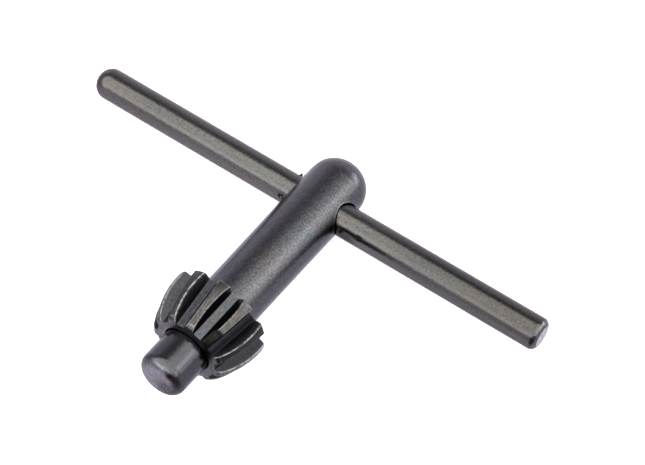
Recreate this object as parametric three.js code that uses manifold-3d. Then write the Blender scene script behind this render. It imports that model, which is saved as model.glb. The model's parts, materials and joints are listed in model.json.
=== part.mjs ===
// A key for a geared drill chuck: a turned shank with a pilot nose, a bevel pinion pressed on behind
// the pilot, and a plain cross bar through the shank, staked on both sides so that it can't slide out.
// Millimetres, +Z up. The key lies as it would on a bench: the cross bar runs along X, the pilot
// points towards -Y, and the pinion and the domed end touch the plane z = 0.
import * as THREE from "three";
import { mergeVertices } from "three/addons/utils/BufferGeometryUtils.js";
import Module from "manifold-3d";

const wasm = await Module();
wasm.setup();

// Shank. Distances along it are counted from the cross bar's axis, towards the pilot.
const SHANK_DIAMETER = 10.2; // where the dome starts
const SHANK_NECK_DIAMETER = 9.75; // where the pinion starts
const DOME_REACH = 9.2; // from the bar's axis to the top of the dome
const DOME_FLAT_RADIUS = 0.4; // the small turned flat at the top of the dome
const PILOT_DIAMETER = 8;
const PILOT_REACH = 7.0; // how far the pilot stands out of the pinion
const PILOT_END_RADIUS = 1.7;

// Pinion. It is a blank with a barrel-shaped outside, in which straight grooves leave the teeth.
const PINION_SETBACK = 26.05; // from the bar's axis to the shank's shoulder
const PINION_LENGTH = 8.7;
const PINION_DIAMETER = 17.3;
const PINION_NOSE_DIAMETER = 13.2; // over the teeth, behind the chamfer at the small end
const PINION_BARREL_RADIUS = 13.8;
const PINION_CORNER_RADIUS = 0.4; // round the large end
const PINION_NOSE_CHAMFER = 0.5; // across the small end's corner
const TOOTH_COUNT = 11;
const TOOTH_CLOCKING = 6; // degrees from the top of the key to the nearest tooth, towards +X
const GROOVE_FLOOR_WIDTH = 1.39;
const GROOVE_FLANK_ANGLE = 34; // degrees, each flank from the groove's middle plane
const GROOVE_NOSE_DIAMETER = 11.0; // over the groove floors, at the small end
const GROOVE_BACK_DIAMETER = 14.64; // over the groove floors, at the large end
const BORE_CHAMFER = 0.3;
const SEAT_GAP = 0.05; // between the pinion and the shank, all round and at the shoulder

// Cross bar
const BAR_DIAMETER = 5.45;
const BAR_REACH_LEFT = 44.8; // from the shank's axis, towards -X
const BAR_REACH_RIGHT = 42.1;
const BAR_END_RADIUS_LEFT = 2.4;
const BAR_END_RADIUS_RIGHT = 1.2;
const HOLE_CLEARANCE = 0.2; // radial, between the bar and the hole across the shank
const STAKE_ANGLE = 74; // degrees from the top of the bar, towards the pilot
const STAKE_HEIGHT = HOLE_CLEARANCE + 0.1; // how far a staked lip stands out of the bar
const STAKE_LENGTH = 0.4; // of the lip, along the bar
const STAKE_WIDTH = 0.8; // of the lip, round the bar
const STAKE_GAP = 0.08; // between a lip and the shank
const PUNCH_RADIUS = 0.5; // of the pit that the punch leaves beyond the lip
const PUNCH_DEPTH = 0.3;

const ROUND_STEPS = 72; // facets round the shank and the pinion
const BAR_STEPS = 48;
const ARC_STEPS = 9; // facets on a quarter of a rounded edge

const steel = (colour, roughness) =>
  new THREE.MeshStandardMaterial({ color: colour, roughness, metalness: 0.9 });

// A closed geometry as a solid that can be cut and joined.
function solidOf(geometry) {
  const bare = geometry.clone();
  bare.deleteAttribute("normal");
  bare.deleteAttribute("uv");
  const merged = mergeVertices(bare, 1e-4);
  return new wasm.Manifold(
    new wasm.Mesh({
      numProp: 3,
      vertProperties: new Float32Array(merged.attributes.position.array),
      triVerts: new Uint32Array(merged.index.array),
    }),
  );
}

function geometryOf(solid) {
  const mesh = solid.getMesh();
  const geometry = new THREE.BufferGeometry();
  geometry.setAttribute("position", new THREE.BufferAttribute(mesh.vertProperties, 3));
  geometry.setIndex(new THREE.BufferAttribute(mesh.triVerts, 1));
  geometry.computeVertexNormals();
  return geometry;
}

function namedMesh(name, solid, material) {
  const mesh = new THREE.Mesh(geometryOf(solid), material);
  mesh.name = name;
  return mesh;
}

// Points of an arc about (r, y) between two angles in degrees, for a lathe profile.
function arc(r, y, radius, from, to, steps = ARC_STEPS) {
  return Array.from({ length: steps + 1 }, (_, i) => {
    const angle = THREE.MathUtils.degToRad(from + ((to - from) * i) / steps);
    return new THREE.Vector2(r + radius * Math.cos(angle), y + radius * Math.sin(angle));
  });
}

const point = (r, y) => new THREE.Vector2(r, y);

// Turned about Y. The profile runs up the Y axis: y is minus the distance from the bar's axis.
const turned = (profile, steps) => solidOf(new THREE.LatheGeometry(profile, steps));

// A round bar along X between two ends, each with its own edge radius.
function roundBar(radius, left, right, edgeLeft, edgeRight) {
  const profile = [
    point(0, -left),
    ...arc(radius - edgeLeft, edgeLeft - left, edgeLeft, -90, 0),
    ...arc(radius - edgeRight, right - edgeRight, edgeRight, 0, 90),
    point(0, right),
  ];
  return turned(profile, BAR_STEPS).rotate([0, 0, -90]);
}

function shank() {
  const neck = SHANK_NECK_DIAMETER / 2;
  const pilot = PILOT_DIAMETER / 2;
  const pilotEnd = PINION_SETBACK + SEAT_GAP + PINION_LENGTH + PILOT_REACH;
  const domeRadius = SHANK_DIAMETER / 2 - DOME_FLAT_RADIUS;
  const profile = [
    point(0, -pilotEnd),
    ...arc(pilot - PILOT_END_RADIUS, PILOT_END_RADIUS - pilotEnd, PILOT_END_RADIUS, -90, 0),
    point(pilot, -PINION_SETBACK),
    point(neck, -PINION_SETBACK),
    ...arc(DOME_FLAT_RADIUS, DOME_REACH - domeRadius, domeRadius, 0, 90, 2 * ARC_STEPS),
    point(0, DOME_REACH),
  ];
  const holeRadius = BAR_DIAMETER / 2 + HOLE_CLEARANCE;
  const hole = new THREE.CylinderGeometry(holeRadius, holeRadius, 2 * SHANK_DIAMETER, BAR_STEPS);
  hole.rotateZ(-Math.PI / 2);
  return turned(profile, ROUND_STEPS).subtract(solidOf(hole));
}

// One groove's cutter: a trapezoid with its narrow side on the groove floor, extruded along the floor.
function grooveCutter(noseY, backY) {
  const noseRadius = GROOVE_NOSE_DIAMETER / 2;
  const backRadius = GROOVE_BACK_DIAMETER / 2;
  const height = PINION_DIAMETER / 2;
  const spread = height * Math.tan(THREE.MathUtils.degToRad(GROOVE_FLANK_ANGLE));
  const half = GROOVE_FLOOR_WIDTH / 2;
  const section = new THREE.Shape([
    new THREE.Vector2(-half, 0),
    new THREE.Vector2(half, 0),
    new THREE.Vector2(half + spread, height),
    new THREE.Vector2(-half - spread, height),
  ]);
  const floor = new THREE.Vector3(0, noseY - backY, noseRadius - backRadius);
  const overrun = PINION_LENGTH / 2;
  const cutter = new THREE.ExtrudeGeometry(section, {
    depth: floor.length() + 2 * overrun,
    bevelEnabled: false,
  });
  const along = floor.normalize();
  const across = new THREE.Vector3(1, 0, 0);
  const outward = new THREE.Vector3().crossVectors(along, across);
  cutter.translate(0, 0, -overrun);
  cutter.applyMatrix4(new THREE.Matrix4().makeBasis(across, outward, along));
  cutter.translate(0, backY, backRadius);
  return cutter;
}

function pinion() {
  const backY = -(PINION_SETBACK + SEAT_GAP);
  const noseY = backY - PINION_LENGTH;
  const bore = PILOT_DIAMETER / 2 + SEAT_GAP;
  const outer = PINION_DIAMETER / 2;
  const nose = PINION_NOSE_DIAMETER / 2;
  const barrel = PINION_BARREL_RADIUS;
  const barrelCentre = outer - barrel;
  const noseAngle = THREE.MathUtils.radToDeg(Math.acos((nose - barrelCentre) / barrel));
  const barrelNoseY = noseY + PINION_NOSE_CHAMFER;
  const barrelY = barrelNoseY + barrel * Math.sin(THREE.MathUtils.degToRad(noseAngle));
  const corner = PINION_CORNER_RADIUS;
  const profile = [
    point(bore, backY - BORE_CHAMFER),
    point(bore, noseY + BORE_CHAMFER),
    point(bore + BORE_CHAMFER, noseY),
    point(nose - PINION_NOSE_CHAMFER, noseY),
    ...arc(barrelCentre, barrelY, barrel, -noseAngle, 0),
    ...arc(outer - corner, backY - corner, corner, 0, 90, 4),
    point(bore + BORE_CHAMFER, backY),
    point(bore, backY - BORE_CHAMFER),
  ];
  let blank = turned(profile, ROUND_STEPS);
  for (let tooth = 0; tooth < TOOTH_COUNT; tooth++) {
    const angle = ((tooth + 0.5) / TOOTH_COUNT) * 360 + TOOTH_CLOCKING;
    const cutter = grooveCutter(noseY, backY).rotateY(THREE.MathUtils.degToRad(angle));
    blank = blank.subtract(solidOf(cutter));
  }
  return blank;
}

// The bar, with a pit from a punch on each side of the shank and the lip of metal that it raised.
function crossBar() {
  const radius = BAR_DIAMETER / 2;
  const turn = THREE.MathUtils.degToRad(STAKE_ANGLE);
  const lipAt = SHANK_DIAMETER / 2 + STAKE_GAP + STAKE_LENGTH / 2;
  const pitAt = lipAt + STAKE_LENGTH / 2 + PUNCH_RADIUS / 2;
  let bar = roundBar(
    radius,
    BAR_REACH_LEFT,
    BAR_REACH_RIGHT,
    BAR_END_RADIUS_LEFT,
    BAR_END_RADIUS_RIGHT,
  );
  for (const side of [-1, 1]) {
    const lip = new THREE.SphereGeometry(1, 16, 12);
    lip.scale(STAKE_LENGTH / 2, STAKE_WIDTH / 2, 2 * STAKE_HEIGHT);
    lip.translate(side * lipAt, 0, radius - STAKE_HEIGHT);
    lip.rotateX(turn);
    const pit = new THREE.ConeGeometry(2 * PUNCH_RADIUS, 2 * PUNCH_DEPTH, 12);
    pit.rotateX(-Math.PI / 2);
    pit.translate(side * pitAt, 0, radius);
    pit.rotateX(turn);
    bar = bar.subtract(solidOf(pit)).add(solidOf(lip));
  }
  return bar;
}

// The angle by which the lying shank rises towards the pilot: the least that lets the dome and the
// thicker pinion touch one plane, taken over every point of the pinion.
function riseOver(pinionGeometry) {
  const position = pinionGeometry.attributes.position;
  const domeRadius = SHANK_DIAMETER / 2 - DOME_FLAT_RADIUS;
  const domeCentre = DOME_REACH - domeRadius;
  let rise = 0;
  for (let i = 0; i < position.count; i++) {
    const reach = domeCentre - position.getY(i);
    const drop = -position.getZ(i) - DOME_FLAT_RADIUS;
    const touching = Math.acos(domeRadius / Math.hypot(reach, drop)) - Math.atan2(reach, drop);
    rise = Math.max(rise, touching);
  }
  return rise;
}

// The three pieces share one group, which is tipped to lie on the dome and the pinion.
const key = new THREE.Group();
const pressedPinion = namedMesh("pinion", pinion(), steel(0x4a4b50, 0.5));
key.add(namedMesh("shank", shank(), steel(0x3c3d42, 0.38)));
key.add(pressedPinion);
key.add(namedMesh("cross_bar", crossBar(), steel(0x45434a, 0.35)));
key.rotation.x = -riseOver(pressedPinion.geometry);

// The origin goes under the middle of the key, on the plane that it lies on.
const box = new THREE.Box3().setFromObject(key, true);
const middle = box.getCenter(new THREE.Vector3());
key.position.set(-middle.x, -middle.y, -box.min.z);

const drillChuckKey = new THREE.Group();
drillChuckKey.add(key);

export default drillChuckKey;
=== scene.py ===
"""The looks of a key for a geared drill chuck: a domed shank with a pilot, a bevel pinion and a cross bar.

Shapes are worked out in the key's own frame, in millimetres: y runs along the shank from the pilot to the
dome with the cross bar's axis at 0, x runs along the cross bar, and z is the shank's top. Angles round the
shank are counted from z towards x. place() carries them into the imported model's frame, in metres.
"""

import json
import math

import bpy
import numpy as np
from mathutils import Matrix, Vector


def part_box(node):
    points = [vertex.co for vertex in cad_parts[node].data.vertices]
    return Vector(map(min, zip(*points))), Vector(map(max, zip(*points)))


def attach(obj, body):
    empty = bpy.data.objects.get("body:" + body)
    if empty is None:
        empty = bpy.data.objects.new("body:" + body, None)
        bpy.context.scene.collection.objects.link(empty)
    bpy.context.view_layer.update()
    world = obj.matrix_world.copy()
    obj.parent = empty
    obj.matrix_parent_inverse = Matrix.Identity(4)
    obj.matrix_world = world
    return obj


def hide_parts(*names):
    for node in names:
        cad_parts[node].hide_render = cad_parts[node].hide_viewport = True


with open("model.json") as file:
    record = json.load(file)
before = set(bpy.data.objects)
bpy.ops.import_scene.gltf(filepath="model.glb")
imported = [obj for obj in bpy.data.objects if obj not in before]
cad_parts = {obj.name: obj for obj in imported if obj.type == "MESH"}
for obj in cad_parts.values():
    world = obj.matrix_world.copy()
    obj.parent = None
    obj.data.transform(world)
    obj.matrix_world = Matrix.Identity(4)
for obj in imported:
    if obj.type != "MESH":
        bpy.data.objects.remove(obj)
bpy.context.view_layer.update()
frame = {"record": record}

MM = 0.001

# Shank
SHANK_RADIUS = 5.1  # where the dome starts
NECK_RADIUS = 4.875  # where the pinion starts
DOME_TOP = 9.2
DOME_FLAT = 0.4  # radius of the small flat at the top of the dome
DOME_RADIUS = SHANK_RADIUS - DOME_FLAT
DOME_START = DOME_TOP - DOME_RADIUS
DOME_PRESS_WAY = (-0.88, 0.22, 0.42)  # the way that the pressed place on the dome's shoulder faces
DOME_PRESS_DEPTH = 0.16
PILOT_RADIUS = 4.0
PILOT_END = 41.8  # from the bar's axis to the end of the pilot
PILOT_ROUNDING = 1.7
SHOULDER = 26.05
SHANK_AROUND = 256
SHANK_UNEVEN = 0.006
END_PATCH = (1.8, -0.9, 1.9)  # rough patch on the pilot's end: across, up and half width
END_SHADE_SPOT = (2.05, 2.5, 0.62)  # painted shade: a dark spot standing for a dark reflection on the rounding above the patch, likewise

# Hole for the cross bar
HOLE_RADIUS = 2.925
MOUTH_ROUNDING = 0.16
MOUTH_LIP = 0.05  # height of the burr round the mouth
WINDOW_COLUMNS = 34  # columns of the shank on each side of the hole that its patch takes up
WINDOW_REACH = 3.6  # how far the patch runs along the shank
WINDOW_ROWS = 48

# Pinion
PINION_BACK = 26.1
PINION_LENGTH = 8.7
NOSE_Y = -(PINION_BACK + PINION_LENGTH)
BACK_Y = -PINION_BACK
PINION_RADIUS = 8.65
PINION_NOSE_RADIUS = 6.6
BARREL_RADIUS = 13.8
CORNER_RADIUS = 0.4
NOSE_CHAMFER = 0.5
TEETH = 11
TOOTH_CLOCKING = math.radians(6)
GROOVE_HALF = 0.695
GROOVE_FLANK = math.radians(34)
GROOVE_NOSE_RADIUS = 5.5
GROOVE_BACK_RADIUS = 7.32
BORE_RADIUS = 4.05
BORE_CHAMFER = 0.3
ROOT_FILLET = 0.16
EDGE_ROUNDING = 0.07
END_ROUNDING = 0.12
CHIPPED_TOOTH = 1
CHIP_DEPTH = 0.32
CHIP_LENGTH = 2.3  # from the nose
NICKS = 46
# Painted shade: how dark each tooth's flanks are painted, by the tooth's number.
FLANK_SHADE = (1, 1, 0.9, 0.8, 0.8, 0.8, 0.8, 0.8, 0.8, 0.35, 1)
# Painted shade: the grooves are painted dark all over from this angle on, and darkest at the next, both from
# the top.
GROOVE_SHADE_START = math.radians(42)
GROOVE_SHADE_PEAK = math.radians(60)
BORE_EDGE_WEAR_AND_SHEEN = (0.6, 1, 1, 0.5)  # wear and painted sheen, lighter on one side, on the two rings of the bore's chamfer and the two next to it

# Cross bar
BAR_RADIUS = 2.725
BAR_ROUNDING_LEFT = 2.4
BAR_ROUNDING_RIGHT = 1.15
BAR_AROUND = 144
PIT_X = 5.68  # the punch's pits, beyond the staked lips
LIP_X = 5.32
STAKE_ANGLE = 74  # degrees from the top towards the pilot
PIT_DEPTHS = {-1: 0.34, 1: 0.08}
BAR_MARKS = (  # height, x, half length, degrees from the top towards the pilot, half width
    (0.50, -5.2, 0.13, -54, 0.6),
    (-0.10, 7.0, 1.3, 80, 0.9),
    (-0.05, 9.2, 0.5, 62, 0.45),
    (-0.03, -7.6, 0.35, 28, 1.0),
    (-0.03, -41.6, 0.5, 50, 0.6),
)

VIEW_AZIMUTH = math.radians(37.353)
VIEW_ELEVATION = math.radians(57.740)
VIEW_ROLL = math.radians(-2.278)
VIEW_TARGET = (4.307, 13.047, 4.534)  # millimetres, near where the bar meets the shank
VIEW_DISTANCE = 335
VIEW_LENS = 117.365
SENSOR_WIDTH = 36

# Room and lights
FLOOR_RADIUS = 1.2  # metres
PANEL_TURN = math.radians(28)  # of the panels' level sides, from x
SOFTBOXES = (  # name, middle and size in metres, way it faces, radiance, colour
    ("ceiling_panel", (0.233, -0.386, 0.50), (2.25, 1.40), (0, 0, -1), 2.8, (1.0, 1.0, 0.99)),
    ("right_panel", (0.80, 0.60, 0.36), (0.6, 0.5), (-0.78, -0.56, -0.34), 1.7, (0.97, 0.99, 1.0)),
    ("back_panel", (0.50, 0.82, 0.17), (0.45, 0.26), (-0.50, -0.82, -0.17), 5.5, (0.94, 0.97, 1.0)),
)
ROOM_COLOUR = (1.29, 1.20, 1.40)
ROOM_BY_HEIGHT = (  # (half of z and a half, strength)
    (0.0, 0.65), (0.325, 1.0), (0.5, 0.98), (0.555, 0.95),
    (0.67, 0.98), (0.775, 0.64), (0.85, 0.31), (1.0, 0.27),
)

record = frame["record"]
pilot_mount = next(m for m in record["mounts"] if m["name"] == "pilot_end")
PILOT_WAY = np.array(pilot_mount["axis"])
BAR_WAY = np.array((1.0, 0.0, 0.0))
BASIS = np.array((BAR_WAY, -PILOT_WAY, np.cross(BAR_WAY, -PILOT_WAY)))
CENTRE = np.array(pilot_mount["pos_m"]) - PILOT_WAY * PILOT_END * MM
BAR_LEFT = (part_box("cross_bar")[0].x - CENTRE[0]) / MM
BAR_RIGHT = (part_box("cross_bar")[1].x - CENTRE[0]) / MM
RISE = math.asin(PILOT_WAY[2])  # how far the shank points up towards the pilot


# ---------------------------------------------------------------- meshes


def place(points):
    """Points of the key's own frame, in millimetres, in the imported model's frame, in metres."""
    return CENTRE + points * MM @ BASIS


def grid_faces(rows, columns):
    """Corner numbers of the squares between rings of points, numbered ring by ring."""
    row = np.arange(rows - 1)[:, None] * columns
    column = np.arange(columns)[None, :]
    after = (column + 1) % columns
    corners = (row + column, row + after, row + columns + after, row + columns + column)
    return np.stack(corners, -1).reshape(-1, 4)


def welded(points, faces, values):
    """Points within a hundredth of a micrometre made one, and each square that lost a side a triangle."""
    keys = np.round(points, 5) + 0.0
    _, first, joined = np.unique(keys, axis=0, return_index=True, return_inverse=True)
    faces = joined.reshape(-1)[faces]
    kept = faces != np.roll(faces, 1, axis=1)
    corners = kept.sum(1)
    solid = corners >= 3
    lists = [face[keep].tolist() for face, keep in zip(faces[solid], kept[solid])]
    return points[first], lists, {name: value[first] for name, value in values.items()}


def add_piece(node, points, faces, values, material):
    """A closed smooth mesh that stands for a CAD node, with its values as attributes."""
    points, lists, values = welded(points, faces, values)
    mesh = bpy.data.meshes.new("key_" + node)
    mesh.from_pydata(place(points), [], lists)
    mesh.polygons.foreach_set("use_smooth", np.ones(len(mesh.polygons), bool))
    for key, value in values.items():
        layer = mesh.attributes.new(key, "FLOAT", "POINT")
        layer.data.foreach_set("value", value.astype(np.float32))
    mesh.materials.append(material)
    mesh.update()
    piece = bpy.data.objects.new("key_" + node, mesh)
    bpy.context.scene.collection.objects.link(piece)
    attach(piece, "root")
    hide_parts(node)


def bump(distance, width):
    """A round bump: 1 at distance 0, falling as a bell whose half width is width."""
    return np.exp(-((distance / width) ** 2))


def smooth_step(share):
    """0 below 0, 1 above 1, and a smooth rise between."""
    share = np.clip(share, 0, 1)
    return share * share * (3 - 2 * share)


def waves(a, b, seed, count=7, longest=14.0, shortest=3.0):
    """A gentle unevenness over (a, b) in millimetres: the mean of sine waves of random way and length."""
    rng = np.random.default_rng(seed)
    total = 0
    for _ in range(count):
        way = rng.uniform(0, 2 * math.pi)
        length = rng.uniform(shortest, longest)
        phase = rng.uniform(0, 2 * math.pi)
        total = total + np.sin((a * math.cos(way) + b * math.sin(way)) * 2 * math.pi / length + phase)
    return total / count


def arc(centre, radius, start, stop, steps):
    """Points (r, y) of an arc about centre between two angles in degrees, both ends included."""
    angle = np.radians(np.linspace(start, stop, steps + 1))
    return np.stack((centre[0] + radius * np.cos(angle), centre[1] + radius * np.sin(angle)), 1)


def line(start, stop, steps):
    """Points from start to stop in equal steps, without the last."""
    return np.linspace(start, stop, steps, endpoint=False)


# ---------------------------------------------------------------- shank


def shank_radius(y):
    """The shank's straight taper: its radius at y, between the shoulder and the dome."""
    return NECK_RADIUS + (SHANK_RADIUS - NECK_RADIUS) * (y + SHOULDER) / (DOME_START + SHOULDER)


def shank_profile():
    """The turned outline (r, y) from the middle of the pilot's end to the top of the dome."""
    flat = PILOT_RADIUS - PILOT_ROUNDING
    rounded = PILOT_ROUNDING - PILOT_END
    tapered = (-SHOULDER, -WINDOW_REACH, WINDOW_REACH, DOME_START)
    neck, before, after, dome = ((shank_radius(y), y) for y in tapered)
    return np.concatenate((
        line((0, -PILOT_END), (flat, -PILOT_END), 9),
        arc((flat, rounded), PILOT_ROUNDING, -90, 0, 16)[:-1],
        line((PILOT_RADIUS, rounded), (PILOT_RADIUS, -SHOULDER), 30),
        line((PILOT_RADIUS, -SHOULDER), (NECK_RADIUS, -SHOULDER), 3),
        line(neck, before, 84),
        line(before, after, WINDOW_ROWS),
        line(after, dome, 6),
        arc((DOME_FLAT, DOME_START), DOME_RADIUS, 0, 90, 36),
        np.array(((0.0, DOME_TOP),)),
    ))


def hole_patch(boundary, side):
    """The shank's skin round one mouth of the hole, the mouth's rounding and half of the hole's wall.

    boundary holds the (y, z) of the window's corners in order round the hole. Each ring goes from the
    boundary to the circle of the mouth along straight lines in the (y, z) plane, and x is where the
    turned surface is: the root of radius squared less z squared. A quarter circle then turns the ring
    into the hole, and the wall runs straight to the middle of the shank.
    """
    mouth = HOLE_RADIUS + MOUTH_ROUNDING
    angle = np.arctan2(boundary[:, 1], boundary[:, 0])
    circle = np.stack((np.cos(angle), np.sin(angle)), 1)
    share = (1 - np.linspace(0, 1, 19) ** 0.8)[:, None, None]
    skin = mouth * circle + share * (boundary - mouth * circle)
    out = np.hypot(skin[..., 0], skin[..., 1])
    lip = MOUTH_LIP * bump(out - mouth, MOUTH_ROUNDING) * (0.75 + 0.25 * np.sin(2 * angle + 1))
    radius = shank_radius(skin[..., 0]) + lip
    skin_x = np.sqrt(radius ** 2 - skin[..., 1] ** 2)
    turn = np.radians(np.linspace(0, 90, 8))[1:, None]
    turned = circle * (HOLE_RADIUS + MOUTH_ROUNDING * (1 - np.sin(turn)))[..., None]
    turned_x = skin_x[-1] - MOUTH_ROUNDING * (1 - np.cos(turn))
    depth = np.linspace(1, 0, 9)[1:, None]
    wall = np.broadcast_to(circle * HOLE_RADIUS, (len(depth), *circle.shape))
    wall_x = turned_x[-1] * depth
    plane = np.concatenate((skin, turned, wall))
    x = np.concatenate((skin_x, turned_x, wall_x)) * side
    points = np.stack((x, plane[..., 0], plane[..., 1]), -1)
    faces = grid_faces(*x.shape)
    ring = np.ones(len(circle))
    values = {
        "wear": np.concatenate((0.2 * bump(out - mouth, 0.14), 0.2 * np.cos(turn) * ring, 0 * wall_x)),
        # painted shade: the mouth's rounding and the hole's wall are painted near black
        "hidden": np.concatenate((0 * skin_x, np.sin(turn) * ring, 1 + 0 * wall_x)),
    }
    return points.reshape(-1, 3), faces if side > 0 else faces[:, ::-1], values


def pressed(points, way, depth):
    """Points that stand further along way than the furthest one less depth are pressed back to that plane."""
    way = np.array(way) / np.linalg.norm(way)
    reach = points @ way
    over = np.maximum(reach - (reach.max() - depth), 0)
    return points - over[:, None] * way


def shank_values(radius, y, angle):
    """Where the turned shank is worn, painted dark as shade (in the pinion's bore and on a spot of the
    pilot's rounding), bare on its end face, scuffed, and pilot.
    """
    across, up = radius * np.sin(angle), radius * np.cos(angle)
    near_end = y < -PILOT_END + 1
    patch_x, patch_z, patch_width = END_PATCH
    shade_x, shade_z, shade_width = END_SHADE_SPOT
    patch = np.minimum(1.5 * bump(np.hypot(across - patch_x, up - patch_z), patch_width), 1) * near_end
    # painted shade: the dark spot on the pilot's rounding, painted near black with the bore
    pit = 0.95 * bump(np.hypot(across - shade_x, up - shade_z), shade_width) * near_end
    in_bore = (y < -SHOULDER + 0.5) & (y > NOSE_Y + 0.1)
    end_face = 1 - smooth_step(radius - PILOT_RADIUS + PILOT_ROUNDING - 0.1)
    values = {
        "wear": 0.25 * bump(np.hypot(radius - PILOT_RADIUS + 0.7, y + PILOT_END - 0.4), 0.5),
        "hidden": np.maximum(in_bore, pit),
        "face": end_face * (y < -PILOT_END + 0.5),
        "scuffed": patch,
        "pilot": (y < -SHOULDER) * smooth_step(y + PILOT_END - 0.5),
    }
    return {name: np.broadcast_to(value, across.shape) for name, value in values.items()}


def build_shank(material):
    """The shank: its outline turned about y, less two windows that the hole's patches fill."""
    profile = shank_profile()
    angle = np.linspace(0, 2 * math.pi, SHANK_AROUND, endpoint=False)
    radius, y = profile[:, :1], profile[:, 1:]
    uneven = (y > -SHOULDER) & (y < DOME_TOP - 2) & (np.abs(y) > WINDOW_REACH + 0.5)
    r = radius + SHANK_UNEVEN * waves(y, radius * angle, 3) * uneven
    points = np.stack((r * np.sin(angle), y + 0 * angle, r * np.cos(angle)), -1).reshape(-1, 3)
    dome = points[:, 1] > DOME_TOP - SHANK_RADIUS
    points[dome] = pressed(points[dome], DOME_PRESS_WAY, DOME_PRESS_DEPTH)
    faces = grid_faces(len(profile), SHANK_AROUND)
    values = {name: [value.ravel()] for name, value in shank_values(radius, y, angle).items()}
    first_row = int(np.argmin(np.abs(profile[:, 1] + WINDOW_REACH)))
    window_rows = np.arange(first_row, first_row + WINDOW_ROWS + 1)
    row_of, column_of = np.divmod(np.arange(len(faces)), SHANK_AROUND)
    cut = np.zeros(len(faces), bool)
    all_points, patches, first = [points], [], len(points)
    for side in (1, -1):
        middle = SHANK_AROUND // 4 if side > 0 else 3 * SHANK_AROUND // 4
        columns = np.arange(middle - WINDOW_COLUMNS, middle + WINDOW_COLUMNS + 1)
        cut |= np.isin(row_of, window_rows[:-1]) & np.isin(column_of, columns[:-1])
        loop = np.concatenate((
            window_rows[:-1] * SHANK_AROUND + columns[0],
            window_rows[-1] * SHANK_AROUND + columns[:-1],
            window_rows[:0:-1] * SHANK_AROUND + columns[-1],
            window_rows[0] * SHANK_AROUND + columns[:0:-1],
        ))
        loop = loop[np.argsort(np.arctan2(points[loop, 2], points[loop, 1]))]
        patch, patch_faces, patch_values = hole_patch(points[loop][:, 1:], side)
        patch[: len(loop)] = points[loop]
        all_points.append(patch)
        patches.append(patch_faces + first)
        first += len(patch)
        for name, parts in values.items():
            parts.append(patch_values[name].ravel() if name in patch_values else np.zeros(len(patch)))
    points = np.concatenate(all_points)
    faces = np.concatenate((faces[~cut], *patches))
    values = {name: np.concatenate(parts) for name, parts in values.items()}
    add_piece("shank", points, faces, values, material)


# ---------------------------------------------------------------- pinion


def soft_min(a, b, width):
    """The smaller of a and b, with the corner between them rounded over width."""
    near = np.maximum(width - np.abs(a - b), 0) / width
    return np.minimum(a, b) - near * near * width / 4


def blank_radius(y):
    """The outside of the pinion's blank: a chamfer at the nose, a barrel, and a rounded back corner."""
    barrel_middle = PINION_RADIUS - BARREL_RADIUS
    nose_angle = math.acos((PINION_NOSE_RADIUS - barrel_middle) / BARREL_RADIUS)
    barrel_y = NOSE_Y + NOSE_CHAMFER + BARREL_RADIUS * math.sin(nose_angle)
    barrel = barrel_middle + np.sqrt(BARREL_RADIUS ** 2 - (np.minimum(y, barrel_y) - barrel_y) ** 2)
    chamfer = PINION_NOSE_RADIUS - NOSE_CHAMFER + (y - NOSE_Y)
    into_corner = np.clip((y - (BACK_Y - CORNER_RADIUS)) / CORNER_RADIUS, 0, 1)
    corner = PINION_RADIUS - CORNER_RADIUS * (1 - np.sqrt(1 - into_corner ** 2))
    return np.minimum(soft_min(barrel, chamfer, 0.1), corner)


def pinion_columns():
    """Places across half a pitch, from 0 in the middle of a groove over 1 at the foot of its flank and 2 at
    the crest's edge to 3 in the middle of the crest, crowded towards 1 and 2 as a cosine crowds them."""
    crowded = (1 - np.cos(np.linspace(0, math.pi, 9))) / 2
    return np.concatenate((crowded[:-1], 1 + crowded[:-1], 2 + crowded))


def pinion_section(y):
    """Radius and angle across half a pitch at each y, and how far each point is from the crest's edge.

    The groove's floor is a straight line that rises from the nose to the back, and its flanks lean away
    from its middle plane. The foot of the flank and the crest's edge are found from their meeting points,
    and the radius is the smallest of blank and flank and the largest of floor and flank, softly joined.
    """
    rise = GROOVE_BACK_RADIUS - GROOVE_NOSE_RADIUS
    floor = GROOVE_NOSE_RADIUS + rise * (y - NOSE_Y) / PINION_LENGTH
    tilt = math.atan2(rise, PINION_LENGTH)
    lean = math.cos(tilt) * math.tan(GROOVE_FLANK)
    blank = blank_radius(y)
    start = GROOVE_HALF - lean * floor
    root = np.sqrt((start * lean) ** 2 - (1 + lean ** 2) * (start ** 2 - blank ** 2))
    edge_z = (root - start * lean) / (1 + lean ** 2)
    foot = np.arctan2(GROOVE_HALF, floor)
    edge = np.arctan2(start + lean * edge_z, edge_z)
    half_pitch = math.pi / TEETH + 0 * y
    stops = np.stack((0 * y, foot, edge, half_pitch), -1)
    across = pinion_columns()
    step = np.minimum(across.astype(int), 2)
    share = across - step
    angle = stops[:, step] * (1 - share) + stops[:, step + 1] * share
    floor_radius = floor[:, None] / np.cos(angle)
    slant = np.sin(angle) - lean * np.cos(angle)
    flank = np.where(slant < -1e-6, start[:, None] / np.minimum(slant, -1e-6), 1e3)
    blank = np.broadcast_to(blank[:, None], angle.shape)
    ground = -soft_min(-floor_radius, -np.where(across > 0.4, flank, 0), ROOT_FILLET)
    radius = soft_min(ground, blank, EDGE_ROUNDING)
    to_edge = (angle - edge[:, None]) * radius
    return radius, angle, to_edge


def pinion_stations():
    """Where the sections stand along y, crowded over the two rounded ends."""
    nose_end = NOSE_Y + END_ROUNDING * (1 - np.cos(np.radians(np.linspace(0, 90, 6))))
    bevel = np.linspace(nose_end[-1], NOSE_Y + 2 * NOSE_CHAMFER, 13)[1:]
    body = np.linspace(bevel[-1], BACK_Y - CORNER_RADIUS, 40)[1:]
    rounded = BACK_Y - CORNER_RADIUS * (1 - np.sin(np.radians(np.linspace(0, 90, 9))))[1:]
    return np.concatenate((nose_end, bevel, body, rounded))


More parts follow.
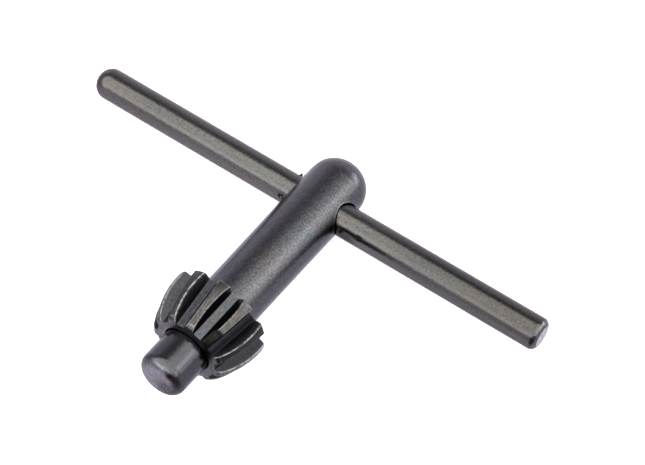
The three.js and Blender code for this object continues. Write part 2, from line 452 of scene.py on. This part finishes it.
def nicks(y, turn, tooth, to_edge):
    """Depth of small nicks at random places along the crests' edges."""
    rng = np.random.default_rng(11)
    depth = 0 * turn
    for _ in range(NICKS):
        which, where = rng.integers(TEETH), rng.uniform(NOSE_Y + 0.6, BACK_Y - 0.3)
        sidewards = rng.choice((-1, 1))
        half = sidewards * (turn - (which * 2 * math.pi / TEETH + TOOTH_CLOCKING)) > 0
        spot = (tooth == which) & half
        deep = rng.uniform(0.02, 0.07)
        depth = depth + deep * spot * bump(to_edge, 0.12) * bump(y - where, rng.uniform(0.1, 0.3))
    return depth


def tooth_painted_shade(turn, tooth, across):
    """Painted shade on the flanks and the grooves, from 0 to 1: darker on some teeth, and in the grooves and
    less on the crests past an angle round the axis.
    """
    flank = np.clip((across - 0.85) / 0.2, 0, 1) * np.clip((2.0 - across) / 0.1, 0, 1)
    past_start = np.mod(turn - GROOVE_SHADE_START, 2 * math.pi)
    past_peak = past_start - (GROOVE_SHADE_PEAK - GROOVE_SHADE_START)
    groove = smooth_step(past_start / math.radians(15)) * (1 - smooth_step(past_start - 3.0))
    groove = groove * (0.35 + 0.6 * bump(past_peak, math.radians(22)))
    return np.maximum(flank * np.array(FLANK_SHADE)[tooth], groove * np.where(across < 1.95, 1, 0.6))


def with_rings(values, before, after):
    """The values of some rings, with rings of zeros before and after them."""
    return np.pad(values, ((before, after), (0, 0)))


def build_pinion(material):
    """The pinion: a section per station along y, repeated round the axis, closed by its faces and bore."""
    y = pinion_stations()
    radius, angle, to_edge = pinion_section(y)
    from_end = np.minimum(y - NOSE_Y, BACK_Y - y)[:, None]
    into = np.clip(1 - from_end / END_ROUNDING, 0, 1)
    radius = radius - END_ROUNDING * (1 - np.sqrt(1 - into ** 2))
    across = pinion_columns()
    # One tooth runs from the middle of a groove to the middle of the next.
    mirror = slice(-2, 0, -1)
    radius = np.concatenate((radius, radius[:, mirror]), 1)
    angle = np.concatenate((angle, 2 * math.pi / TEETH - angle[:, mirror]), 1)
    to_edge = np.concatenate((to_edge, to_edge[:, mirror]), 1)
    across = np.concatenate((across, across[mirror]))
    tooth = np.repeat(np.arange(TEETH), radius.shape[1])
    radius, to_edge, across = (np.tile(a, TEETH) for a in (radius, to_edge, across))
    turn = np.tile(angle, TEETH) + (tooth - 0.5) * 2 * math.pi / TEETH + TOOTH_CLOCKING
    at = y[:, None]
    crest = (tooth == CHIPPED_TOOTH) & (across > 1.7)
    chip = CHIP_DEPTH * crest / (1 + np.exp((at - (NOSE_Y + CHIP_LENGTH)) / 0.08))
    radius = radius - chip - nicks(at, turn, tooth, to_edge)
    # Rings of (radius, y) all round, from the bore over the front face, the teeth and the back face.
    flat_front = BORE_RADIUS + BORE_CHAMFER
    share = np.linspace(0, 1, 7)
    ones = np.ones(radius.shape[1])
    bore = [
        (BORE_RADIUS * ones, (BACK_Y - BORE_CHAMFER) * ones),
        (BORE_RADIUS * ones, (NOSE_Y + BACK_Y) / 2 * ones),
        (BORE_RADIUS * ones, (NOSE_Y + BORE_CHAMFER) * ones),
        ((BORE_RADIUS + 0.04) * ones, (NOSE_Y + BORE_CHAMFER - 0.1) * ones),
        ((flat_front - 0.1) * ones, (NOSE_Y + 0.04) * ones),
    ]
    front = [(flat_front + s * (radius[0] - flat_front), NOSE_Y * ones) for s in share[:-1]]
    teeth = [(radius[i], y[i] * ones) for i in range(len(y))]
    rear = [(radius[-1] + s * (flat_front - radius[-1]), BACK_Y * ones) for s in share[1:]]
    rings = bore + front + teeth + rear + bore[:1]
    r = np.array([ring_radius for ring_radius, _ in rings])
    along = np.array([ring_y for _, ring_y in rings])
    lead, tail = len(bore) + len(front), len(rear) + 1
    turns = np.concatenate((
        np.broadcast_to(turn[0], (lead, len(ones))),
        turn,
        np.broadcast_to(turn[-1], (tail, len(ones))),
    ))
    points = np.stack((r * np.sin(turns), along, r * np.cos(turns)), -1)
    ends = bump(at - BACK_Y + 0.15, 0.18) + bump(at - NOSE_Y - NOSE_CHAMFER, 0.10)
    edge_wear = np.maximum(bump(to_edge, 0.06), 0.7 * ends * (across > 1.9)) * (1 - 0.8 * (chip > 0.1))
    edge_wear = np.maximum(edge_wear, 0.6 * bump(at - BACK_Y + 0.05, 0.10))
    # partly wear, partly painted sheen: the front face and the bore's edge are lighter on the side away from
    # the painted shade
    front_wear_and_sheen = 0.5 - 0.5 * np.cos(turns[:lead] - math.radians(50))
    bore_edge = slice(3, 3 + len(BORE_EDGE_WEAR_AND_SHEEN))
    front_wear_and_sheen[bore_edge] *= np.array(BORE_EDGE_WEAR_AND_SHEEN)[:, None]
    front_wear_and_sheen[: bore_edge.start] = 0
    front_wear_and_sheen[bore_edge.stop :] *= 0.4
    # painted shade: the front face near the bore is painted darker on one side
    nose_shade = bump(r[:lead] - 4.7, 0.8) * (0.5 + 0.5 * np.cos(turns[:lead] - math.radians(40)))
    crest_rub = np.clip((across - 1.9) / 0.15, 0, 1) * (chip < 0.1)
    values = {
        "wear": np.concatenate((front_wear_and_sheen, with_rings(edge_wear, 0, tail))).ravel(),
        "crest": with_rings(crest_rub, lead, tail).ravel(),
        "flank": with_rings(tooth_painted_shade(turn, tooth, across), lead, tail).ravel(),
        "chip": with_rings(np.clip(chip / 0.2, 0, 1), lead, tail).ravel(),
        "nose": with_rings(nose_shade, 0, len(y) + tail).ravel(),
    }
    faces = grid_faces(len(rings), len(ones))
    add_piece("pinion", points.reshape(-1, 3), faces, values, material)


# ---------------------------------------------------------------- cross bar


def bar_arc(angle, degrees):
    """The way round the bar's surface, in millimetres, from an angle in degrees to each angle."""
    return BAR_RADIUS * (np.mod(angle - math.radians(degrees) + math.pi, 2 * math.pi) - math.pi)


def bar_marks(x, angle):
    """What stands out of the bar's round surface, in millimetres: the staked lips beside the shank, the
    punch's pits beyond them, and a few dings. angle is counted from the bar's top towards the pilot."""
    stake = bar_arc(angle, STAKE_ANGLE)
    total = 0.007 * waves(x, BAR_RADIUS * angle, 5, longest=20, shortest=5)
    for side, depth in PIT_DEPTHS.items():
        total = total - depth * bump(np.hypot(x - side * PIT_X, stake), 0.42)
        total = total + 0.10 * bump(x - side * LIP_X, 0.13) * bump(stake, 0.5)
    for height, middle, half_length, degrees, half_width in BAR_MARKS:
        total = total + height * bump(x - middle, half_length) * bump(bar_arc(angle, degrees), half_width)
    return total


def bar_profile():
    """The bar's outline (r, x) from the middle of its left end to the middle of its right end."""
    flat_left = BAR_RADIUS - BAR_ROUNDING_LEFT
    flat_right = BAR_RADIUS - BAR_ROUNDING_RIGHT
    left, right = BAR_LEFT + BAR_ROUNDING_LEFT, BAR_RIGHT - BAR_ROUNDING_RIGHT
    # The rows crowd where the marks of staking are.
    stops, steps = (left, -7, -4.6, 4.6, 7, 11, right), (96, 30, 12, 30, 24, 80)
    return np.concatenate((
        line((0, BAR_LEFT), (flat_left, BAR_LEFT), 2),
        arc((flat_left, left), BAR_ROUNDING_LEFT, -90, 0, 22)[:-1],
        *(line((BAR_RADIUS, a), (BAR_RADIUS, b), n) for a, b, n in zip(stops, stops[1:], steps)),
        arc((flat_right, right), BAR_ROUNDING_RIGHT, 0, 90, 14),
        line((flat_right * 0.9, BAR_RIGHT), (0, BAR_RIGHT), 10),
        np.array(((0.0, BAR_RIGHT),)),
    ))


def build_bar(material):
    """The cross bar: its outline turned about x, with the marks of staking and use."""
    profile = bar_profile()
    angle = np.linspace(0, 2 * math.pi, BAR_AROUND, endpoint=False)
    radius, x = profile[:, :1], profile[:, 1:]
    full = np.clip((radius / BAR_RADIUS - 0.6) / 0.4, 0, 1)
    r = radius + bar_marks(x, angle) * full
    points = np.stack((x + 0 * angle, -r * np.sin(angle), r * np.cos(angle)), -1)
    faces = grid_faces(len(profile), BAR_AROUND)
    burr = 0.8 * bump(np.hypot(x + 5.3, BAR_RADIUS * (angle - 2 * math.pi + math.radians(54))), 0.6)
    # painted shade: the punch's pit is painted near black
    pit = bump(np.hypot(x + 5.62, BAR_RADIUS * (angle - math.radians(STAKE_ANGLE))), 0.5)
    # painted shade: a dark reflection of the shank, painted on the pilot's side of the bar beside the joint
    painted_shank_reflection = 0.9 * (1 - smooth_step((x - 7.2) / 2.6)) * (x > 0)
    painted_shank_reflection = painted_shank_reflection * bump(BAR_RADIUS * (angle - math.radians(99)), 1.5)
    right_end = bump(np.hypot(radius - BAR_RADIUS + 0.35, x - BAR_RIGHT + 0.3), 0.35)
    left_end = 0.4 * bump(x - BAR_LEFT - 0.4, 0.7)
    values = {
        "wear": np.maximum(right_end, left_end),
        "pit": np.maximum.reduce((pit, burr, painted_shank_reflection)),
        "dull": smooth_step((x - 3) / 20),
        "sawn": (x > BAR_RIGHT - 0.02) & (radius < BAR_RADIUS - BAR_ROUNDING_RIGHT + 0.3),
        "hidden": np.abs(x) < 5.0,
    }
    values = {name: np.broadcast_to(value, r.shape).ravel() for name, value in values.items()}
    add_piece("cross_bar", points.reshape(-1, 3), faces, values, material)


# ---------------------------------------------------------------- materials


class Wire:
    """A shader socket. Sums, differences and products of wires and numbers add the Math nodes for them."""

    def __init__(self, graph, socket):
        self.graph, self.socket = graph, socket

    def math(self, operation, a, b):
        node = self.graph.node("Math", {"operation": operation}, {0: a, 1: b})
        return Wire(self.graph, node.outputs[0])

    def __add__(self, other):
        return self.math("ADD", self, other)

    def __sub__(self, other):
        return self.math("SUBTRACT", self, other)

    def __rsub__(self, other):
        return self.math("SUBTRACT", other, self)

    def __mul__(self, other):
        return self.math("MULTIPLY", self, other)

    __radd__, __rmul__ = __add__, __mul__


class Graph:
    """The nodes of one material or world."""

    def __init__(self, owner):
        self.owner = owner
        owner.use_nodes = True
        self.tree = owner.node_tree

    def node(self, kind, settings, inputs):
        """A node of one kind, with its settings and any ramp's stops, then its sockets' values or wires."""
        node = self.tree.nodes.new("ShaderNode" + kind)
        for name, value in settings.items():
            if name != "stops":
                setattr(node, name, value)
                continue
            while len(node.color_ramp.elements) < len(value):
                node.color_ramp.elements.new(1)
            for element, (position, shade) in zip(node.color_ramp.elements, value):
                element.position = position
                element.color = (shade, shade, shade, 1)
        for name, value in inputs.items():
            self.feed(node.inputs[name], value)
        return node

    def feed(self, socket, value):
        """A wire is linked to the socket, and anything else becomes its constant."""
        if isinstance(value, Wire):
            self.tree.links.new(value.socket, socket)
        else:
            socket.default_value = value

    def place(self, turn=0.0, stretch=(1, 1, 1)):
        """Object coordinates in millimetres, turned about x and stretched."""
        at = Wire(self, self.node("TexCoord", {}, {}).outputs["Object"])
        if turn:
            at = Wire(self, self.node("Mapping", {}, {"Vector": at, "Rotation": (turn, 0, 0)}).outputs[0])
        scale = [s / MM for s in stretch]
        return Wire(self, self.node("Mapping", {}, {"Vector": at, "Scale": scale}).outputs[0])

    def noise(self, at, per_mm, detail=3.0, rough=0.55):
        inputs = {"Vector": at, "Scale": per_mm, "Detail": detail, "Roughness": rough}
        node = self.node("TexNoise", {}, inputs)
        return Wire(self, node.outputs["Fac"])

    def ramp(self, value, *stops):
        """A number that follows value through stops of (value, result), straight between them."""
        node = self.node("ValToRGB", {"stops": stops}, {0: value})
        return Wire(self, node.outputs[0])

    def attribute(self, name):
        node = self.node("Attribute", {"attribute_name": name}, {})
        return Wire(self, node.outputs["Fac"])

    def blend(self, share, first, second):
        """A colour that goes from first to second as share goes from 0 to 1."""
        first, second = (c if isinstance(c, Wire) else (*c, 1) for c in (first, second))
        inputs = {0: share, 6: first, 7: second}
        return Wire(self, self.node("Mix", {"data_type": "RGBA"}, inputs).outputs[2])

    def finish(self, colour, roughness, height, reach, **constants):
        """Colour, roughness and relief go to the shader. Relief is height times reach in metres."""
        relief = self.node("Bump", {}, {"Height": height, "Distance": reach, "Strength": 1.0})
        shader = self.tree.nodes["Principled BSDF"]
        self.feed(shader.inputs["Base Color"], colour)
        self.feed(shader.inputs["Roughness"], roughness)
        self.feed(shader.inputs["Normal"], Wire(self, relief.outputs[0]))
        for name, value in constants.items():
            shader.inputs[name.replace("_", " ")].default_value = value
        return self.owner


def oxide(graph, at, base, brown, blue):
    """Black oxide: a base colour that drifts to brown and to blue in patches, with a fine speckle."""
    patches = graph.ramp(graph.noise(at, 0.22, 4), (0.42, 0.0), (0.62, 1.0))
    cooler = graph.ramp(graph.noise(at, 0.35, 3), (0.45, 0.0), (0.68, 1.0))
    speckle = graph.ramp(graph.noise(at, 3.2, 3, 0.75), (0.32, 0.0), (0.66, 1.0))
    colour = graph.blend(patches * 0.55, base, brown)
    colour = graph.blend(cooler * 0.55, colour, blue)
    dimmed = graph.blend(0.55, colour, (0.0, 0.0, 0.0))
    return graph.blend(speckle, dimmed, colour), speckle


def shank_steel():
    """Oiled black oxide over turned steel."""
    graph = Graph(bpy.data.materials.new("oiled_black_oxide"))
    at = graph.place(RISE)
    turned = graph.noise(graph.place(RISE, (0.25, 5.0, 0.25)), 1.0, 2)
    pilot, face = graph.attribute("pilot"), graph.attribute("face")
    colour, speckle = oxide(graph, at, (0.101, 0.104, 0.108), (0.112, 0.101, 0.094), (0.088, 0.105, 0.119))
    wear = graph.attribute("wear") * graph.ramp(graph.noise(at, 1.7, 3), (0.35, 0.2), (0.6, 1.0))
    colour = graph.blend(wear, colour, (0.34, 0.34, 0.35))
    colour = graph.blend(0.6 * pilot, colour, (0.040, 0.041, 0.044))
    mottle = graph.ramp(graph.noise(at, 1.6, 4, 0.7), (0.35, 0.0), (0.62, 1.0))
    bare = graph.blend(mottle, (0.11, 0.105, 0.115), (0.22, 0.21, 0.225))
    colour = graph.blend(face, colour, bare)
    rubbed = graph.attribute("scuffed") * graph.ramp(graph.noise(at, 2.2, 4, 0.75), (0.42, 0.5), (0.52, 1.0))
    colour = graph.blend(rubbed, colour, (0.015, 0.014, 0.016))
    # painted shade: near black inside the pinion's bore, in the hole and on a spot of the pilot's rounding
    colour = graph.blend(graph.attribute("hidden"), colour, (0.012, 0.011, 0.011))
    roughness = 0.16 + 0.07 * graph.noise(at, 0.5, 3) + 0.06 * speckle + 0.08 * face - 0.07 * pilot
    height = (1 - 0.5 * pilot) * (graph.noise(at, 3.0, 4, 0.7) + 0.35 * turned)
    height = height + 0.5 * graph.noise(at, 0.8, 2)
    return graph.finish(colour, roughness, height, 0.000026, Metallic=1.0)


def pinion_steel():
    """Black oxide on cut teeth: rubbed crests and bright edges, with painted shade on the flanks, grooves and
    front face, and painted sheen on one side of the front face.
    """
    graph = Graph(bpy.data.materials.new("worn_black_oxide"))
    at = graph.place(RISE)
    colour, speckle = oxide(graph, at, (0.076, 0.082, 0.089), (0.086, 0.080, 0.074), (0.066, 0.079, 0.092))
    rubbed = graph.attribute("crest") * graph.ramp(graph.noise(at, 1.1, 4, 0.65), (0.30, 0.35), (0.62, 1.0))
    scrapes = graph.noise(graph.place(RISE, (1.0, 0.15, 1.0)), 4.0, 3, 0.7)
    scraped = graph.ramp(scrapes, (0.36, 0.0), (0.62, 1.0))
    metal = graph.blend(scraped, (0.028, 0.027, 0.025), (0.082, 0.077, 0.069))
    colour = graph.blend(rubbed, colour, metal)
    # painted shade: flanks and grooves darkened towards black
    colour = graph.blend(graph.attribute("flank"), colour, (0.008, 0.008, 0.009))
    # painted shade on the front face near the bore, darkest on one side
    colour = graph.blend(graph.attribute("nose"), colour, (0.020, 0.020, 0.022))
    # wear on the edges and the crests' ends, and painted sheen: the front face and the bore's edge lighter on
    # one side
    edge = graph.attribute("wear") * graph.ramp(graph.noise(at, 1.9, 3), (0.36, 0.1), (0.60, 1.0))
    colour = graph.blend(edge, colour, (0.26, 0.245, 0.235))
    rust = graph.ramp(graph.noise(at, 2.2, 3), (0.52, 0.0), (0.68, 1.0))
    bruise = graph.blend(rust, (0.010, 0.009, 0.008), (0.034, 0.022, 0.014))
    colour = graph.blend(graph.attribute("chip"), colour, bruise)
    roughness = 0.22 + 0.14 * graph.noise(at, 0.8, 3) + 0.05 * speckle
    height = graph.noise(at, 2.9, 3, 0.65) + 1.1 * graph.noise(graph.place(RISE, (1.0, 0.12, 1.0)), 3.0, 2)
    return graph.finish(colour, roughness, height, 0.000024, Metallic=1.0)


def bar_steel():
    """Oiled black oxide over drawn rod, brownish in places."""
    graph = Graph(bpy.data.materials.new("brown_black_oxide"))
    at = graph.place()
    drawn = graph.noise(graph.place(0.0, (0.06, 1.6, 1.6)), 1.0, 3)
    colour, speckle = oxide(graph, at, (0.096, 0.098, 0.092), (0.112, 0.096, 0.084), (0.086, 0.101, 0.099))
    colour = graph.blend(graph.ramp(drawn, (0.4, 0.0), (0.7, 0.4)), colour, (0.115, 0.104, 0.094))
    colour = graph.blend(0.2 * graph.attribute("dull"), colour, (0.0, 0.0, 0.0))
    wear = graph.attribute("wear") * graph.ramp(graph.noise(at, 1.7, 3), (0.35, 0.3), (0.6, 1.0))
    colour = graph.blend(wear, colour, (0.15, 0.145, 0.14))
    grain = graph.ramp(graph.noise(at, 2.4, 3), (0.35, 0.0), (0.65, 1.0))
    sawn = graph.blend(grain, (0.20, 0.19, 0.21), (0.62, 0.60, 0.63))
    colour = graph.blend(graph.attribute("sawn"), colour, sawn)
    # near black: painted shade in the punch's pit and from the shank's dark reflection beside the joint, and
    # the burr darkened
    colour = graph.blend(graph.attribute("pit"), colour, (0.012, 0.010, 0.010))
    roughness = 0.13 + 0.10 * graph.noise(at, 0.6, 3) + 0.05 * speckle
    height = graph.noise(at, 2.8, 4, 0.7) + 0.4 * drawn + 0.8 * graph.noise(at, 0.7, 2)
    return graph.finish(colour, roughness, height, 0.000017, Metallic=1.0)


# ---------------------------------------------------------------- stage


def floor_paper():
    """White paper that glows a little."""
    graph = Graph(bpy.data.materials.new("pale_paper"))
    grain = graph.noise(graph.place(), 0.02, 2)
    colour = graph.blend(grain, (0.86, 0.85, 0.90), (0.90, 0.89, 0.94))
    glow = {"Emission_Color": (0.97, 0.95, 1.0, 1), "Emission_Strength": 0.5}
    return graph.finish(colour, 0.9, grain, 0.00001, **glow)


def add_floor():
    """A round sheet of pale paper under the key."""
    mesh = bpy.data.meshes.new("paper")
    angle = np.linspace(0, 2 * math.pi, 96, endpoint=False)
    ring = FLOOR_RADIUS * np.stack((np.cos(angle), np.sin(angle), 0 * angle), 1)
    mesh.from_pydata(ring, [], [list(range(len(ring)))])
    mesh.materials.append(floor_paper())
    floor = bpy.data.objects.new("paper", mesh)
    floor.visible_glossy = False  # the steel reflects the room's lower half in its place
    bpy.context.scene.collection.objects.link(floor)


def add_softbox(name, middle, size, way, radiance, colour):
    """A rectangular soft light at middle, counted from the key's centre, that faces along way and whose
    first side lies level. Its power follows from how bright its face is to look at."""
    light = bpy.data.lights.new(name, "AREA")
    light.shape, light.size, light.size_y = "RECTANGLE", *size
    light.energy, light.color = radiance * math.pi * size[0] * size[1], colour
    lamp = bpy.data.objects.new(name, light)
    bpy.context.scene.collection.objects.link(lamp)
    back = -np.array(way) / np.linalg.norm(way)
    level = np.array((math.cos(PANEL_TURN), math.sin(PANEL_TURN), 0))
    level = level - back * (level @ back)
    level = level / np.linalg.norm(level)
    turn = Matrix(np.stack((level, np.cross(back, level), back), 1).tolist()).to_4x4()
    lamp.matrix_world = Matrix.Translation(Vector(CENTRE) + Vector(middle)) @ turn


def add_sky():
    """What the steel reflects: a room that is bright low down, dim overhead, darker towards the front right
    and the left, and brighter towards the front left. The camera sees white behind the key."""
    world = bpy.data.worlds.new("studio")
    bpy.context.scene.world = world
    graph = Graph(world)
    way = Wire(graph, graph.node("TexCoord", {}, {}).outputs["Generated"])
    parts = graph.node("SeparateXYZ", {}, {0: way})
    x, y, z = (Wire(graph, parts.outputs[i]) for i in range(3))
    by_height = graph.ramp(0.5 * z + 0.5, *ROOM_BY_HEIGHT)
    front_right = graph.ramp(0.6 * x - 0.8 * y, (0.55, 1.0), (0.9, 0.1))
    left = graph.ramp(0.1 * z - 0.5 * y - 0.85 * x, (0.5, 1.0), (0.95, 0.45))
    front_left = 1 + 0.9 * graph.ramp(-0.35 * x - 0.94 * y, (0.45, 0.0), (0.85, 1.0))
    strength = by_height * front_right * left * front_left
    room = graph.node("Background", {}, {"Color": (*ROOM_COLOUR, 1), "Strength": strength})
    behind = graph.node("Background", {}, {"Color": (1, 1, 1, 1)})
    ray = graph.node("LightPath", {}, {})
    sources = (ray.outputs["Is Camera Ray"], room.outputs[0], behind.outputs[0])
    either = graph.node("MixShader", {}, {i: Wire(graph, socket) for i, socket in enumerate(sources)})
    graph.feed(graph.tree.nodes["World Output"].inputs[0], Wire(graph, either.outputs[0]))


def add_camera():
    """The camera looks down on the key from the front right, with a slight roll."""
    a, e, roll = VIEW_AZIMUTH, VIEW_ELEVATION, VIEW_ROLL
    back = np.array((math.sin(a) * math.cos(e), -math.cos(a) * math.cos(e), math.sin(e)))
    level = np.array((math.cos(a), math.sin(a), 0))
    upright = np.cross(back, level)
    right = math.cos(roll) * level + math.sin(roll) * upright
    above = np.cross(back, right)
    data = bpy.data.cameras.new("camera")
    data.lens, data.sensor_width = VIEW_LENS, SENSOR_WIDTH
    data.clip_start, data.clip_end = 0.01, 10
    camera = bpy.data.objects.new("camera", data)
    bpy.context.scene.collection.objects.link(camera)
    turn = Matrix(np.stack((right, above, back), 1).tolist()).to_4x4()
    spot = (np.array(VIEW_TARGET) + VIEW_DISTANCE * back) * MM
    camera.matrix_world = Matrix.Translation(Vector(spot)) @ turn
    bpy.context.scene.camera = camera


add_camera()
build_shank(shank_steel())
build_pinion(pinion_steel())
build_bar(bar_steel())
add_floor()
add_sky()
for softbox in SOFTBOXES:
    add_softbox(*softbox)
bpy.context.scene.view_settings.view_transform = "Standard"
